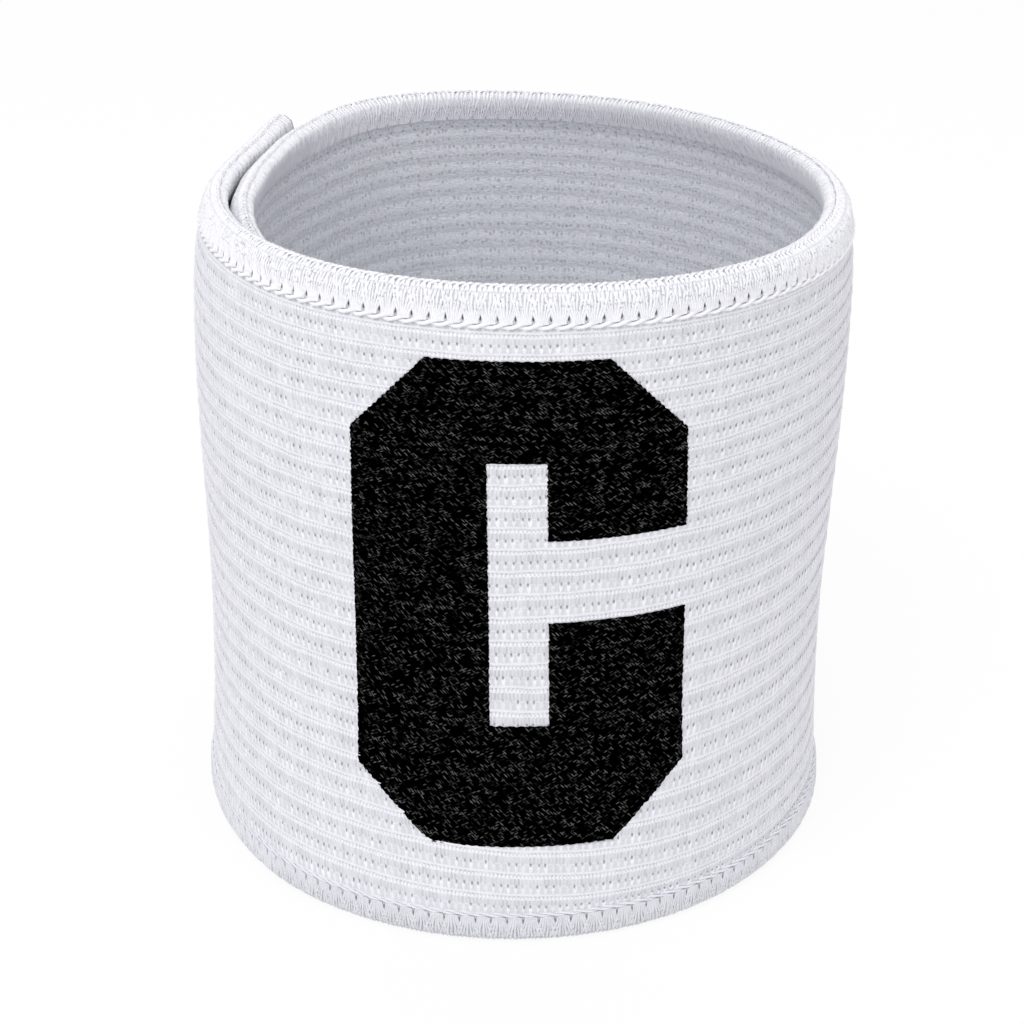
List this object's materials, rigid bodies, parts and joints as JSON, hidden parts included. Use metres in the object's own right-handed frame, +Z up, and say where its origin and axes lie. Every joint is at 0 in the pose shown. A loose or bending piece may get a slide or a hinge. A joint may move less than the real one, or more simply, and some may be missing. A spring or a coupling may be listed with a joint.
{
  "type": "captain armband",
  "caption": "Knitted elastic armband with bound edges, a black block letter on the front and lapped ends, standing as one open loop.",
  "frame": {"origin": "on the ground under the middle of the whole armband, which stands on its lower border", "axes": "+Z up along the loop's axis, -Y out through the letter on the front, +X to the right seen from the front"},
  "size_m": [0.0794, 0.0794, 0.08],
  "materials": {
    "white_knit": "ribbed white elastic knit, matt",
    "white_border": "overlocked white yarn, matt",
    "black_knit": "black yarn with a faint sheen",
    "closure_tape": "hook-and-loop tape, matt"
  },
  "bodies": {
    "root": {"band": "white_knit", "top_border": "white_border", "bottom_border": "white_border", "captain_letter": "black_knit", "closure_patch": "closure_tape"}
  },
  "joints": []
}
